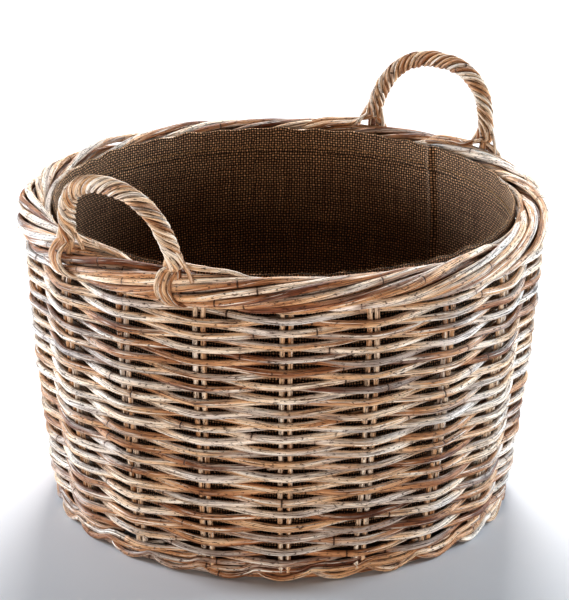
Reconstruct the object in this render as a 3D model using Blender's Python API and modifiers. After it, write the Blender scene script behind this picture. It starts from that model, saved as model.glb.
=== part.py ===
"""Wicker log basket: a round rattan basket with two roped loop handles and a jute lining.

Run with: blender --background --python part.py
Units are metres, +Z is up. The base's lowest face is at z = 0, the basket's axis is Z and the
handles stand over -X (left) and +X (right).
"""

import math

import bpy

# Wall: the stakes' middle line, from the base up to the border.
WALL_FOOT_RADIUS = 0.2515
WALL_TOP_RADIUS = 0.2835
WALL_BULGE = 0.0045
WALL_HEIGHT = 0.303

# Stakes: pairs of canes that stand side by side in the wall.
STAKE_PAIRS = 19
STAKE_RADIUS = 0.0034
STAKE_SPREAD = 0.0041
STAKE_STATIONS = 6

# Side weave: each band stands for a few rows of weavers that pass the same sides of the pairs.
SIDE_BANDS = 9
BAND_THICKNESS = 0.006
BAND_GAP = 0.0005
WEAVE_CLEARANCE = 0.0011
STATIONS_PER_PAIR = 3
UPSETT_HEIGHT = 0.020

# Foot: the waling that the basket stands on.
FOOT_HEIGHT = 0.0160
FOOT_WIDTH = 0.021
FOOT_WAVE = 0.0012
FOOT_OVERHANG = 0.0085
FOOT_CHAMFER = 0.004

# Border: canes rolled round each other into a ring on top of the wall.
BORDER_INSET = 0.0035
BORDER_STRANDS = 4
BORDER_LAY_RADIUS = 0.0122
BORDER_TURNS = 5
BORDER_STATIONS = 56

# Base: sticks that fan out from the middle, and the weave that goes over and under them.
BASE_STICKS = 20
BASE_STICK_RADIUS = 0.0036
BASE_HUB_RADIUS = 0.046
BASE_HUB_HEIGHT = 0.0096
BASE_WEAVE_RINGS = 2
BASE_WEAVE_INNER = 0.060
BASE_WEAVE_THICKNESS = 0.004
BASE_WEAVE_CLEARANCE = 0.0012

# Handles: a core cane bent into a loop, with canes roped round it and lashed over the border.
HANDLE_LEFT_SPAN = 0.146
HANDLE_RIGHT_SPAN = 0.160
HANDLE_RISE = 0.0875
HANDLE_LEAN = math.radians(16)
HANDLE_SHOULDER = 0.85
HANDLE_STATIONS = 28
CORE_RADIUS = 0.0038
ROPE_STRANDS = 3
ROPE_RADIUS = 0.0031
ROPE_TURNS = 3
ROPE_CLEARANCE = 0.00045
LASHING_END = math.radians(-38)
LASHING_STATIONS = 6

# Lining: a bag of jute cloth with a doubled hem, sewn with one thread.
CLOTH_THICKNESS = 0.0012
HEM_THICKNESS = 0.0026
HEM_DEPTH = 0.030
HEM_BELOW_TOP = 0.0045
LINING_CLEARANCE = 0.0012
LINING_STEPS = 34
THREAD_RADIUS = 0.0006
THREAD_WAVE = 0.0015

TOUCHING_GAP = 0.0004

MATERIALS = {
    "rattan_stake": ((0.40, 0.29, 0.19), 0.62),
    "rattan_weave": ((0.56, 0.44, 0.32), 0.58),
    "rattan_border": ((0.60, 0.47, 0.33), 0.55),
    "rattan_handle": ((0.58, 0.44, 0.29), 0.55),
    "rattan_base": ((0.45, 0.35, 0.24), 0.65),
    "jute_lining": ((0.30, 0.20, 0.12), 0.95),
    "jute_thread": ((0.55, 0.42, 0.26), 0.90),
}

# Sizes that follow from the ones above.
STAKE_FOOT = FOOT_HEIGHT + TOUCHING_GAP
STAKE_TOP = STAKE_FOOT + WALL_HEIGHT
PAIR_ANGLE = 2 * math.pi / STAKE_PAIRS
WEAVE_REACH = STAKE_RADIUS + BAND_THICKNESS / 2 + WEAVE_CLEARANCE
WALL_HALF_THICKNESS = WEAVE_REACH + BAND_THICKNESS / 2
BORDER_RADIUS = WALL_TOP_RADIUS - BORDER_INSET
BORDER_LAY_SLOPE = math.atan(BORDER_TURNS * BORDER_LAY_RADIUS / BORDER_RADIUS)
BORDER_STRAND_RADIUS = (
    BORDER_LAY_RADIUS * math.sin(math.pi / BORDER_STRANDS) * math.cos(BORDER_LAY_SLOPE)
    - TOUCHING_GAP
)
BORDER_HALF = BORDER_LAY_RADIUS + BORDER_STRAND_RADIUS
BORDER_Z = STAKE_TOP + TOUCHING_GAP + BORDER_HALF
BORDER_TOP = BORDER_Z + BORDER_HALF
BASE_STICK_Z = STAKE_FOOT + BASE_STICK_RADIUS
ROPE_LAY_RADIUS = CORE_RADIUS + ROPE_RADIUS + ROPE_CLEARANCE
LASHING_RADIUS = BORDER_HALF + ROPE_RADIUS + TOUCHING_GAP


def wall_radius(z):
    """The radius of the stakes' middle line at height z."""
    t = (z - STAKE_FOOT) / WALL_HEIGHT
    straight = WALL_FOOT_RADIUS + (WALL_TOP_RADIUS - WALL_FOOT_RADIUS) * t
    return straight + WALL_BULGE * 4 * t * (1 - t)


def wall_slope(z):
    step = 0.001
    return (wall_radius(z + step) - wall_radius(z - step)) / (2 * step)


def polar(radius, angle, z):
    return (radius * math.cos(angle), radius * math.sin(angle), z)


def clear_scene():
    for obj in list(bpy.data.objects):
        bpy.data.objects.remove(obj, do_unlink=True)


def new_collection(name):
    collection = bpy.data.collections.new(name)
    bpy.context.scene.collection.children.link(collection)
    return collection


def new_material(name):
    color, roughness = MATERIALS[name]
    material = bpy.data.materials.new(name)
    material.use_nodes = True
    shader = material.node_tree.nodes["Principled BSDF"]
    shader.inputs["Base Color"].default_value = (*color, 1)
    shader.inputs["Roughness"].default_value = roughness
    shader.inputs["Metallic"].default_value = 0
    return material


class Basket:
    """Holds the collections and materials, and adds each piece to them."""

    def __init__(self):
        self.parts = new_collection("wicker_log_basket")
        self.helpers = new_collection("helpers")
        self.helpers.hide_render = True
        self.materials = {name: new_material(name) for name in MATERIALS}

    def add(self, name, data, material):
        """Makes the data an object in the parts collection."""
        if not data.materials:
            data.materials.append(self.materials[material])
        obj = bpy.data.objects.new(name, data)
        self.parts.objects.link(obj)
        return obj

    def add_helper(self, name, data):
        obj = bpy.data.objects.new(name, data)
        obj.hide_render = True
        obj.display_type = "WIRE"
        self.helpers.objects.link(obj)
        return obj

    def move(self, obj, name, collection):
        """Names the object that an operator has just made, and puts it in one collection only."""
        obj.name = name
        for other in list(obj.users_collection):
            other.objects.unlink(obj)
        collection.objects.link(obj)

    def section(self, name, points):
        """A closed outline, listed anticlockwise with x outwards and y up, for a curve's bevel."""
        outline = poly_curve(name, [(x, y, 0) for x, y in reversed(points)], closed=True)
        outline.dimensions = "2D"
        outline.fill_mode = "NONE"
        return self.add_helper(name, outline)


def poly_curve(name, points, closed):
    curve = bpy.data.curves.new(name, "CURVE")
    curve.dimensions = "3D"
    curve.use_fill_caps = not closed
    spline = curve.splines.new("POLY")
    spline.points.add(len(points) - 1)
    for point, place in zip(spline.points, points):
        point.co = (*place, 1)
    spline.use_cyclic_u = closed
    return curve


def round_cane(name, points, radius, sides, closed=False):
    """A cane of round section along the points."""
    curve = poly_curve(name, points, closed)
    curve.bevel_depth = radius
    curve.bevel_resolution = sides // 2 - 2
    curve.twist_mode = "MINIMUM"
    return curve


def shaped_cane(name, points, section, closed=False):
    """A cane along the points whose section is the given outline, kept upright."""
    curve = poly_curve(name, points, closed)
    curve.bevel_mode = "OBJECT"
    curve.bevel_object = section
    curve.twist_mode = "Z_UP"
    return curve


def wave(station, per_crossing, crossings):
    """+1 or -1 at each crossing and smooth between. An odd count leaves one flat stretch."""
    place = station / per_crossing
    if place > crossings - 1 and crossings % 2:
        return 1
    return math.cos(math.pi * place)


def make_stakes(basket):
    """Each pair of stakes is drawn in the XZ plane and turned to its place."""
    corners = [math.radians(45 * i + 22.5) for i in range(8)]
    outline = [
        (
            math.copysign(STAKE_SPREAD, math.cos(a)) + STAKE_RADIUS * math.cos(a),
            STAKE_RADIUS * math.sin(a),
        )
        for a in corners
    ]
    section = basket.section("stake_pair_section", outline)
    low = STAKE_FOOT + STAKE_RADIUS * wall_slope(STAKE_FOOT)
    high = STAKE_TOP - STAKE_RADIUS * wall_slope(STAKE_TOP)
    heights = [low + (high - low) * i / STAKE_STATIONS for i in range(STAKE_STATIONS + 1)]
    middle = [(wall_radius(z), 0, z) for z in heights]
    pair = shaped_cane("stake_pair", middle, section)
    for i in range(STAKE_PAIRS):
        obj = basket.add(f"stake_pair_{i + 1:02d}", pair, "rattan_stake")
        obj.rotation_euler.z = pair_angle(i)


def pair_angle(i):
    """Pairs count outwards both ways from the one under the left handle."""
    return math.pi + (i - STAKE_PAIRS // 2) * PAIR_ANGLE


def woven_band(basket, name, low, high, side):
    """A closed band that passes outside one stake pair and inside the next."""
    middle = (low + high) / 2
    slant = (wall_radius(high) - wall_radius(low)) / 2
    half_height = (high - low) / 2
    half = BAND_THICKNESS / 2
    outline = [
        (-half - slant, -half_height),
        (half - slant, -half_height),
        (half + slant, half_height),
        (-half + slant, half_height),
    ]
    section = basket.section(f"{name}_section", outline)
    stations = STAKE_PAIRS * STATIONS_PER_PAIR
    points = []
    for i in range(stations):
        reach = side * WEAVE_REACH * wave(i, STATIONS_PER_PAIR, STAKE_PAIRS)
        angle = pair_angle(0) + i * PAIR_ANGLE / STATIONS_PER_PAIR
        points.append(polar(wall_radius(middle) + reach, angle, middle))
    basket.add(name, shaped_cane(name, points, section, closed=True), "rattan_weave")


def make_side_weave(basket):
    upsett_top = STAKE_FOOT + UPSETT_HEIGHT
    woven_band(basket, "upsett_wale", STAKE_FOOT, upsett_top - BAND_GAP, side=-1)
    pitch = (STAKE_TOP - upsett_top) / SIDE_BANDS
    for i in range(SIDE_BANDS):
        low = upsett_top + i * pitch
        woven_band(basket, f"side_weave_{i + 1:02d}", low, low + pitch - BAND_GAP, (-1) ** i)


def make_foot(basket):
    outer = WALL_FOOT_RADIUS + FOOT_OVERHANG
    middle = outer - FOOT_WIDTH / 2
    half, half_height = FOOT_WIDTH / 2, FOOT_HEIGHT / 2
    outline = [
        (-half, -half_height),
        (half - FOOT_CHAMFER, -half_height),
        (half, -half_height + FOOT_CHAMFER),
        (half, half_height),
        (-half, half_height),
    ]
    section = basket.section("foot_section", outline)
    stations = STAKE_PAIRS * STATIONS_PER_PAIR
    points = []
    for i in range(stations):
        angle = math.pi + i * PAIR_ANGLE / STATIONS_PER_PAIR
        swell = FOOT_WAVE * math.cos(angle * STAKE_PAIRS)
        points.append(polar(middle + swell, angle, half_height))
    basket.add("foot_wale", shaped_cane("foot_wale", points, section, closed=True), "rattan_weave")


def make_border(basket):
    for strand in range(BORDER_STRANDS):
        points = []
        for i in range(BORDER_STATIONS):
            angle = 2 * math.pi * i / BORDER_STATIONS
            lay = BORDER_TURNS * angle + 2 * math.pi * strand / BORDER_STRANDS
            radius = BORDER_RADIUS + BORDER_LAY_RADIUS * math.cos(lay)
            points.append(polar(radius, angle, BORDER_Z + BORDER_LAY_RADIUS * math.sin(lay)))
        name = f"border_strand_{strand + 1}"
        cane = round_cane(name, points, BORDER_STRAND_RADIUS, sides=6, closed=True)
        basket.add(name, cane, "rattan_border")


def boolean_union(obj, others):
    for other in others:
        modifier = obj.modifiers.new(f"join {other.name}", "BOOLEAN")
        modifier.operation = "UNION"
        modifier.solver = "EXACT"
        modifier.object = other


def make_base_sticks(basket):
    """The sticks and the bound hub where they cross, as one piece."""
    bpy.ops.mesh.primitive_cylinder_add(
        vertices=2 * BASE_STICKS,
        radius=BASE_HUB_RADIUS,
        depth=BASE_HUB_HEIGHT,
        location=(0, 0, BASE_STICK_Z),
    )
    hub = bpy.context.object
    hub.data.materials.append(basket.materials["rattan_base"])
    basket.move(hub, "base_sticks", basket.parts)
    outer = WALL_FOOT_RADIUS - WALL_HALF_THICKNESS - TOUCHING_GAP
    inner = BASE_HUB_RADIUS * 0.7
    arms = []
    for i in range(BASE_STICKS):
        bpy.ops.mesh.primitive_cylinder_add(
            vertices=6,
            radius=BASE_STICK_RADIUS,
            depth=outer - inner,
            location=polar((outer + inner) / 2, i * 2 * math.pi / BASE_STICKS, BASE_STICK_Z),
            rotation=(0, math.pi / 2, i * 2 * math.pi / BASE_STICKS),
        )
        arm = bpy.context.object
        arm.hide_render = True
        arm.display_type = "WIRE"
        basket.move(arm, f"base_arm_{i + 1:02d}", basket.helpers)
        arms.append(arm)
    boolean_union(hub, arms)


def make_base_weave(basket):
    """Flat rings that pass over one base stick and under the next."""
    outer = WALL_FOOT_RADIUS + FOOT_OVERHANG - FOOT_WIDTH - FOOT_WAVE - 2 * TOUCHING_GAP
    width = (outer - BASE_WEAVE_INNER) / BASE_WEAVE_RINGS
    half = width / 2 - TOUCHING_GAP
    thick = BASE_WEAVE_THICKNESS / 2
    section = basket.section(
        "base_weave_section", [(-half, -thick), (half, -thick), (half, thick), (-half, thick)]
    )
    reach = BASE_STICK_RADIUS + thick + BASE_WEAVE_CLEARANCE
    stations = BASE_STICKS * STATIONS_PER_PAIR
    for ring in range(BASE_WEAVE_RINGS):
        middle = BASE_WEAVE_INNER + width * (ring + 0.5)
        points = []
        for i in range(stations):
            lift = (-1) ** ring * reach * wave(i, STATIONS_PER_PAIR, BASE_STICKS)
            points.append(polar(middle, 2 * math.pi * i / stations, BASE_STICK_Z + lift))
        name = f"base_weave_{ring + 1}"
        basket.add(name, shaped_cane(name, points, section, closed=True), "rattan_base")


class Handle:
    """A loop over one side of the basket, in a plane that leans outwards."""

    def __init__(self, side, span):
        self.side = side
        self.half_span = span / 2
        self.foot_z = BORDER_TOP + TOUCHING_GAP

    def place(self, along, up, out):
        """A point from its distances along the rim, up from the border and out of the plane."""
        radial = BORDER_RADIUS + up * math.sin(HANDLE_LEAN) + out * math.cos(HANDLE_LEAN)
        height = self.foot_z + up * math.cos(HANDLE_LEAN) - out * math.sin(HANDLE_LEAN)
        return (self.side * radial, along, height)

    def middle(self, t):
        """The loop's middle line at t from 0 to 1, with the in-plane direction away from it."""
        swing = math.pi * (1 - t)
        across = math.copysign(abs(math.cos(swing)) ** HANDLE_SHOULDER, math.cos(swing))
        up = HANDLE_RISE * math.sin(swing) ** HANDLE_SHOULDER if 0 < t < 1 else 0
        return self.half_span * across, up

    def outward(self, t):
        step = 0.004
        before = self.middle(max(t - step, 0))
        after = self.middle(min(t + step, 1))
        along, up = after[0] - before[0], after[1] - before[1]
        length = math.hypot(along, up)
        return -up / length, along / length

    def core_points(self):
        return [self.place(*self.middle(i / HANDLE_STATIONS), 0) for i in range(HANDLE_STATIONS + 1)]

    def rope_point(self, t, strand):
        lay = math.radians(60) * (2 * strand - 1) + 2 * math.pi * ROPE_TURNS * t
        along, up = self.middle(t)
        away_along, away_up = self.outward(t)
        reach = ROPE_LAY_RADIUS * math.sin(lay)
        return self.place(
            along + reach * away_along, up + reach * away_up, ROPE_LAY_RADIUS * math.cos(lay)
        )

    def lashing(self, start):
        """The tail that goes from the rope down round the outside of the border."""
        radial = abs(start[0]) - BORDER_RADIUS
        first = math.atan2(start[2] - BORDER_Z, radial) - math.radians(18)
        points = []
        for i in range(LASHING_STATIONS + 1):
            angle = first + (LASHING_END - first) * i / LASHING_STATIONS
            radius = BORDER_RADIUS + LASHING_RADIUS * math.cos(angle)
            height = BORDER_Z + LASHING_RADIUS * math.sin(angle)
            points.append((self.side * radius, start[1], height))
        return points

    def rope_points(self, strand):
        """A strand's whole route: up from the border, round the core, and down to the border."""
        clear = (LASHING_RADIUS - BORDER_HALF) * 2 / (math.pi * HANDLE_RISE)
        turns = range(HANDLE_STATIONS + 1)
        route = [
            self.rope_point(clear + (1 - 2 * clear) * i / HANDLE_STATIONS, strand) for i in turns
        ]
        if strand == ROPE_STRANDS - 1:
            return route
        return self.lashing(route[0])[::-1] + route + self.lashing(route[-1])


def make_handle(basket, name, side, span):
    handle = Handle(side, span)
    core = round_cane(f"{name}_core", handle.core_points(), CORE_RADIUS, sides=6)
    basket.add(f"{name}_core", core, "rattan_handle")
    for strand in range(ROPE_STRANDS):
        rope_name = f"{name}_rope_{strand + 1}"
        rope = round_cane(rope_name, handle.rope_points(strand), ROPE_RADIUS, sides=6)
        basket.add(rope_name, rope, "rattan_handle")


def turned(basket, name, profile, material):
    """A closed profile of (radius, z) points turned round the Z axis."""
    mesh = bpy.data.meshes.new(name)
    edges = [(i, (i + 1) % len(profile)) for i in range(len(profile))]
    mesh.from_pydata([(radius, 0, z) for radius, z in profile], edges, [])
    obj = basket.add(name, mesh, material)
    screw = obj.modifiers.new("turn", "SCREW")
    screw.axis = "Z"
    screw.steps = LINING_STEPS
    screw.render_steps = LINING_STEPS
    screw.use_merge_vertices = True
    screw.merge_threshold = 0.00001
    screw.use_normal_calculate = True
    return obj


def make_lining(basket):
    reach = WALL_HALF_THICKNESS + LINING_CLEARANCE
    floor = BASE_STICK_Z + BASE_STICK_RADIUS + BASE_WEAVE_CLEARANCE + BASE_WEAVE_THICKNESS + TOUCHING_GAP
    side_floor = floor + CLOTH_THICKNESS + TOUCHING_GAP
    neck = BORDER_RADIUS - BORDER_HALF - LINING_CLEARANCE
    hem_top = BORDER_TOP - HEM_BELOW_TOP
    heights = [side_floor, (side_floor + STAKE_TOP) / 2, STAKE_TOP - 0.014]
    outside = [(wall_radius(z) - reach, z) for z in heights]
    outside += [(neck, STAKE_TOP), (neck, hem_top)]
    inside = [
        (neck - HEM_THICKNESS, hem_top),
        (neck - HEM_THICKNESS, hem_top - HEM_DEPTH),
        (neck - CLOTH_THICKNESS, hem_top - HEM_DEPTH - HEM_THICKNESS),
    ]
    inside += [(radius - CLOTH_THICKNESS, z) for radius, z in outside[2::-1]]
    turned(basket, "lining_side", outside + inside, "jute_lining")
    bpy.ops.mesh.primitive_cylinder_add(
        vertices=LINING_STEPS,
        radius=wall_radius(floor) - reach,
        depth=CLOTH_THICKNESS,
        location=(0, 0, floor + CLOTH_THICKNESS / 2),
    )
    base = bpy.context.object
    base.data.materials.append(basket.materials["jute_lining"])
    basket.move(base, "lining_base", basket.parts)
    make_hem_thread(basket, neck - HEM_THICKNESS, hem_top - HEM_DEPTH / 2)


def make_hem_thread(basket, hem_radius, height):
    radius = hem_radius * math.cos(math.pi / LINING_STEPS) - THREAD_RADIUS - TOUCHING_GAP
    stations = 2 * LINING_STEPS
    points = [
        polar(radius, math.pi * i / LINING_STEPS, height + THREAD_WAVE * (-1) ** i)
        for i in range(stations)
    ]
    thread = round_cane("hem_thread", points, THREAD_RADIUS, sides=4, closed=True)
    basket.add("hem_thread", thread, "jute_thread")


def main():
    clear_scene()
    basket = Basket()
    make_foot(basket)
    make_base_sticks(basket)
    make_base_weave(basket)
    make_stakes(basket)
    make_side_weave(basket)
    make_border(basket)
    make_handle(basket, "handle_left", -1, HANDLE_LEFT_SPAN)
    make_handle(basket, "handle_right", 1, HANDLE_RIGHT_SPAN)
    make_lining(basket)


main()
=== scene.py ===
"""Looks of the wicker log basket: every cane of its weave, border and handles, and its lining.

Lengths are in metres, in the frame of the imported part: +Z is up, the basket's axis is Z and the
handles stand over -X (left) and +X (right).
"""

import math

import bpy
import numpy as np
from mathutils import Matrix, Vector


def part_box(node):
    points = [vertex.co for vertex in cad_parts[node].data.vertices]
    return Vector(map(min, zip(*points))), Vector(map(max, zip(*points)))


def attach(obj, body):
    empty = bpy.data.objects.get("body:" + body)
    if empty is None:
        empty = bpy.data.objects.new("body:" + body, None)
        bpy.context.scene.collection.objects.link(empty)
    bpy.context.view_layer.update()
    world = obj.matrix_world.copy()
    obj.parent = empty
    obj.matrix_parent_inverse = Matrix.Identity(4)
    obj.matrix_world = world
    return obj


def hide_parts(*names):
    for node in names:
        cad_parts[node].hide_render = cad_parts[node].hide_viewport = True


# Side weave: one spiral of canes that passes outside one pair of stakes and inside the next.
WEAVE_ROWS = 40
WEAVE_START = 0.0025  # from the CAD stakes' lower ends up to the lowest row
WEAVE_REACH = 0.0085  # from the CAD bands' upper edge up to the top of the highest row
WEAVER_RADIUS = 0.0043
WEAVER_DROOP = 0.0015  # how far a cane dips where it passes outside, and rises where inside
WEAVER_GAP = 0.0004
STATIONS_PER_PAIR = 16
MEAN_WALL_RADIUS = 0.27

# Stakes: two canes in each pair.
STAKE_RADIUS = 0.0031
STAKE_HALF_SPREAD = 0.0045
STAKE_HIDDEN_FOOT = 0.006  # the length in the foot's waling
STAKE_HIDDEN_TOP = 0.012  # the length inside the border

# Waling at the foot: short canes that each span three of the foot's sags, on hidden rings.
FOOT_STAKES = 26
FOOT_CANE_RADIUS = 0.0032
FOOT_SAG = 0.0092
FOOT_PHASE = math.radians(217.5)
FOOT_CORE_RADIUS = 0.0044
FOOT_CORE_RINGS = ((-0.0045, 0.0050), (0.0010, 0.0060), (-0.0045, 0.0120))  # (outwards, z)

# Border: the stakes' ends rolled round the rim.
BORDER_CANE_RADIUS = 0.0040
BORDER_TRAVEL = 4.1  # how far a cane goes along the rim, in pairs of stakes
BORDER_LAY_FIRST = -108  # degrees round the border's section: 0 is outside and 90 on top
BORDER_LAY_LAST = 168
BORDER_CORE_RADIUS = 0.0050
BORDER_CORE_REACH = 0.0055
BORDER_FILLER_RADIUS = 0.0042
BORDER_FILLER_REACH = 0.0158

# Handles: canes roped round a core.
HANDLE_CANES = 7
HANDLE_CANE_RADIUS = 0.0024
HANDLE_LAY_RADIUS = 0.0075
HANDLE_CORE_RADIUS = 0.0047
HANDLE_TURN = 0.067  # the length of rope for each turn
HANDLE_LEAN = math.radians(16)
HANDLE_SHOULDER = 0.85
HANDLE_LEG = 0.026  # how far the core goes down into the border
HANDLE_BARE_END = 0.026  # the share of the loop at each end where the canes already part
HANDLE_EASE = 0.13  # the share of the loop at each end over which the twist starts
HANDLE_STATIONS = 170
HANDLE_CANE_STATIONS = 300

# Base: sticks that fan out from the middle, with thin canes woven over and under them.
BASE_STICKS = 20
BASE_STICK_RADIUS = 0.0035
BASE_EYE = 0.012  # the sticks' inner ends
BASE_BINDING_ROWS = 9
BASE_BINDING_RADIUS = 0.0022
BASE_BINDING_LIFT = 0.0040
BASE_WEAVE_START = 0.050
BASE_CANE_RADIUS = 0.0020
BASE_ROW_PITCH = 0.0041

# Lining: jute cloth, with a folded hem, stitches along it and one upright seam.
LINING_COLUMNS = 721
LINING_START = math.radians(45)
LINING_WRINKLE = 0.0022
LINING_WALL_GAP = 0.0128
LINING_BORDER_GAP = 0.0016
LINING_MEAN_RADIUS = 0.26
HEM_DEPTH = 0.030
HEM_LAYER_GAP = 0.0028
STITCH_PITCH = 0.0075
STITCH_LENGTH = 0.0046
STITCH_RADIUS = 0.0006
STITCH_HEIGHT = 0.006  # above the hem's lower edge
STITCH_ROW = -6  # the row of the side's grid that the stitches follow in and out
SEAM_ANGLE = math.radians(-5.2)
SEAM_HEIGHT = 0.0040
SEAM_HALF_WIDTH = 0.0040
BASE_CLOTH_GAP = 0.0132
BASE_CLOTH_RINGS = 60
FRAYED_FIBRES = 900
NO_JOINTS = 9.0  # a spacing of joints that is longer than any thread
HEM_LAYER, BASE_LAYER = 3.0, 9.0  # offsets in the weave's noise, so that no panel repeats another

# Floor: a plain sheet just under the basket.
FLOOR_HALF = 9.0
FLOOR_DROP = 0.0005

# Camera: it looks down from the front left.
CAMERA_AZIMUTH = math.radians(-53)
CAMERA_ELEVATION = math.radians(21.04)
CAMERA_DISTANCE = 3.5
CAMERA_TARGET = Vector((0, 0, 0.19))
CAMERA_AIM_UP = 0.0377
CAMERA_AIM_RIGHT = 0.0017
CAMERA_ROLL = math.radians(0.61)
CAMERA_LENS = 183.96

UP = np.array([0.0, 0.0, 1.0])

rng = np.random.default_rng(20)
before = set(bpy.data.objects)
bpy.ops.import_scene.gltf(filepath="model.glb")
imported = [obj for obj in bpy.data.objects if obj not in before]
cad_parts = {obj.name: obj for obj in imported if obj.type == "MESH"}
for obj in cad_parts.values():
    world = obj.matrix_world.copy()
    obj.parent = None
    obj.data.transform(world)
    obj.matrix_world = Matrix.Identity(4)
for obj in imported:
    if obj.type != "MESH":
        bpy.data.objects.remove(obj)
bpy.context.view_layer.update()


# ---------------------------------------------------------------- facts read from the frame
def vertices(*names):
    """The corners of these CAD nodes' meshes, as rows of x, y and z."""
    blocks = []
    for name in names:
        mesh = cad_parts[name].data
        block = np.zeros(len(mesh.vertices) * 3)
        mesh.vertices.foreach_get("co", block)
        blocks.append(block.reshape(-1, 3))
    return np.vstack(blocks)


PAIRS = sum(name.startswith("stake_pair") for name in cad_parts)
PAIR_ANGLE = 2 * math.pi / PAIRS
BANDS = sorted(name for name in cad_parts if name.startswith("side_weave"))
BORDER_NODES = sorted(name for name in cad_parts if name.startswith("border_strand"))

STAKES = vertices("stake_pair_10")
WALL_FIT = np.polyfit(STAKES[:, 2], -STAKES[:, 0], 2)
STAKE_FOOT, STAKE_TOP = STAKES[:, 2].min(), STAKES[:, 2].max()

BORDER = vertices(*BORDER_NODES)
BORDER_HALF = np.ptp(BORDER[:, 2]) / 2
BORDER_Z = BORDER[:, 2].min() + BORDER_HALF
BORDER_TOP = BORDER_Z + BORDER_HALF
BORDER_RADIUS = np.hypot(BORDER[:, 0], BORDER[:, 1]).max() - BORDER_HALF

FOOT = vertices("foot_wale")
FOOT_OUTER = np.hypot(FOOT[:, 0], FOOT[:, 1]).max()
FOOT_INNER = np.hypot(FOOT[:, 0], FOOT[:, 1]).min()

WEAVE_LOW = vertices(BANDS[0])[:, 2].min()
WEAVE_HIGH = vertices(BANDS[-1])[:, 2].max()
BASE_Z = vertices("base_sticks")[:, 2].mean()
LINING_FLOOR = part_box("lining_base")[1].z
HEM_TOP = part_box("lining_side")[1].z


def wall_radius(z):
    """The radius of the stakes' middle line at height z."""
    return np.polyval(WALL_FIT, z)


# ---------------------------------------------------------------- numbers along a cane
def wander(x, wavelength, seed):
    """Smooth noise from -1 to 1 that turns about once per wavelength."""
    phases = np.random.default_rng(seed)
    total = np.zeros_like(x, dtype=float)
    for share in (1.0, 0.61, 0.43, 0.29):
        turn = x * 2 * math.pi / (wavelength * share * 1.7)
        total += np.sin(turn + phases.uniform(0, 6.28)) * share
    return total / 1.4


def smoothstep(x, low, high):
    t = np.clip((x - low) / (high - low), 0, 1)
    return t * t * (3 - 2 * t)


def polar(radius, angle, z):
    radius, angle, z = np.broadcast_arrays(radius, angle, z)
    return np.stack([radius * np.cos(angle), radius * np.sin(angle), z], axis=1)


def outward(path):
    """Unit vectors that point away from the basket's axis."""
    flat = path * (1, 1, 0)
    return flat / np.maximum(np.linalg.norm(flat, axis=1, keepdims=True), 1e-9)


def through(points, stations):
    """A smooth curve through the points, with its stations evenly spaced."""
    p = np.asarray(points, float)
    p = np.vstack([2 * p[0] - p[1], p, 2 * p[-1] - p[-2]])
    t = np.linspace(0, 1, 13)[:-1, None]
    pieces = []
    for a, b, c, d in zip(p[:-3], p[1:-2], p[2:-1], p[3:]):
        square = (2 * a - 5 * b + 4 * c - d) * t**2
        cube = (3 * b - a - 3 * c + d) * t**3
        pieces.append(0.5 * (2 * b + (c - a) * t + square + cube))
    curve = np.vstack([*pieces, p[-2:-1]])
    length = lengths_along(curve)
    wanted = np.linspace(0, length[-1], stations)
    return np.stack([np.interp(wanted, length, curve[:, i]) for i in range(3)], axis=1)


def lengths_along(path):
    steps = np.linalg.norm(np.diff(path, axis=0), axis=1)
    return np.concatenate([[0], np.cumsum(steps)])


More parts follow.
